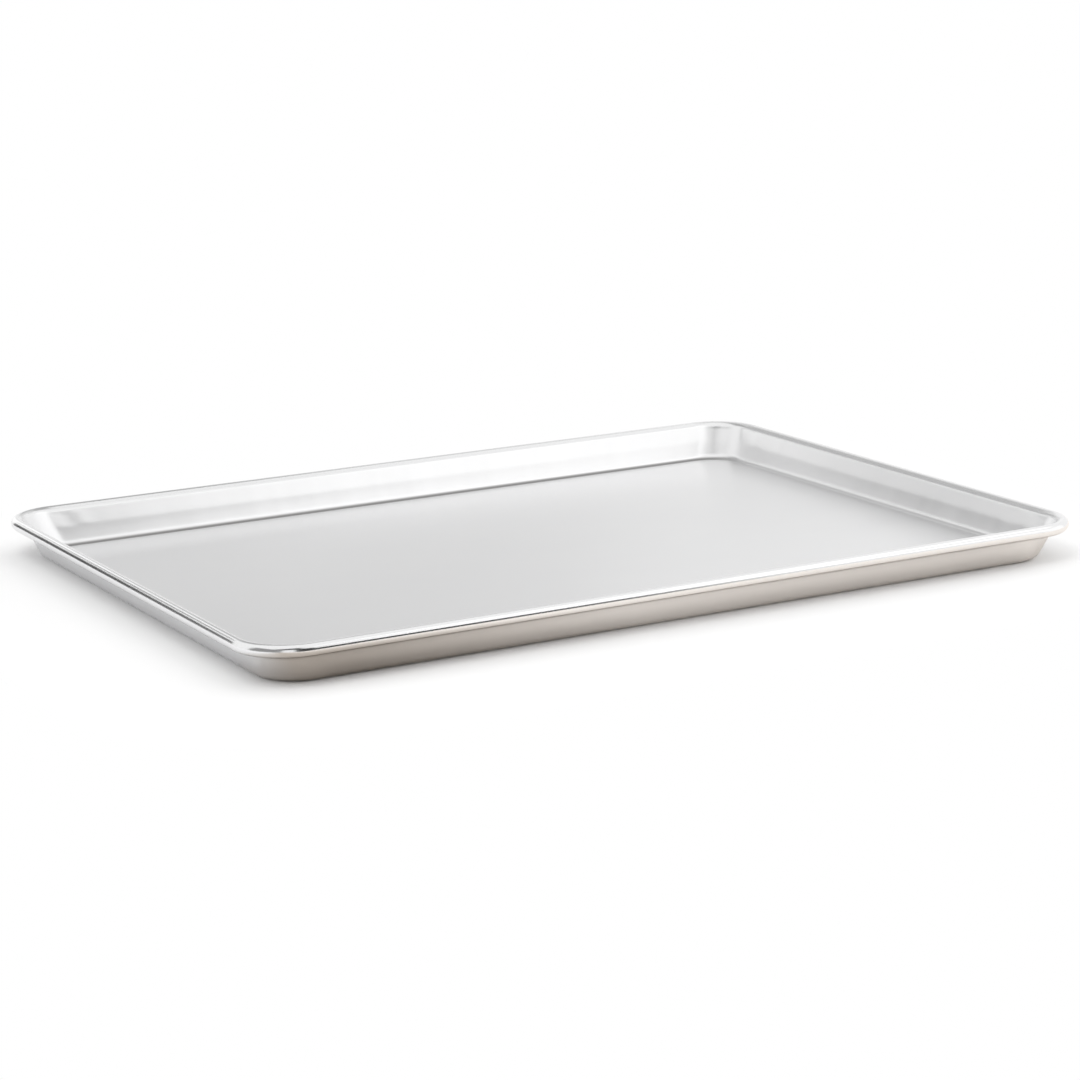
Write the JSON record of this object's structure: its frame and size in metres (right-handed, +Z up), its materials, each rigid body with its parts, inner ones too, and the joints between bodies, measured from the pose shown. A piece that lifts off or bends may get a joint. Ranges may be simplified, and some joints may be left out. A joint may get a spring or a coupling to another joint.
{
  "type": "sheet pan",
  "caption": "Shallow rectangular aluminium baking sheet with a flat floor, sloping coved walls, rounded corners and a rim curled over a stiffening wire.",
  "frame": {"origin": "middle of the flat underside, on the surface that the pan stands on", "axes": "+X along the pan's length, +Y across its width, +Z up out of the open side"},
  "size_m": [0.559, 0.406, 0.0254],
  "materials": {
    "satin_aluminium": "satin rolled sheet, drawn walls",
    "galvanised_wire": "dull zinc-coated drawn wire"
  },
  "bodies": {
    "root": {"pan_shell": "satin_aluminium", "rim_wire": "galvanised_wire"}
  },
  "joints": []
}
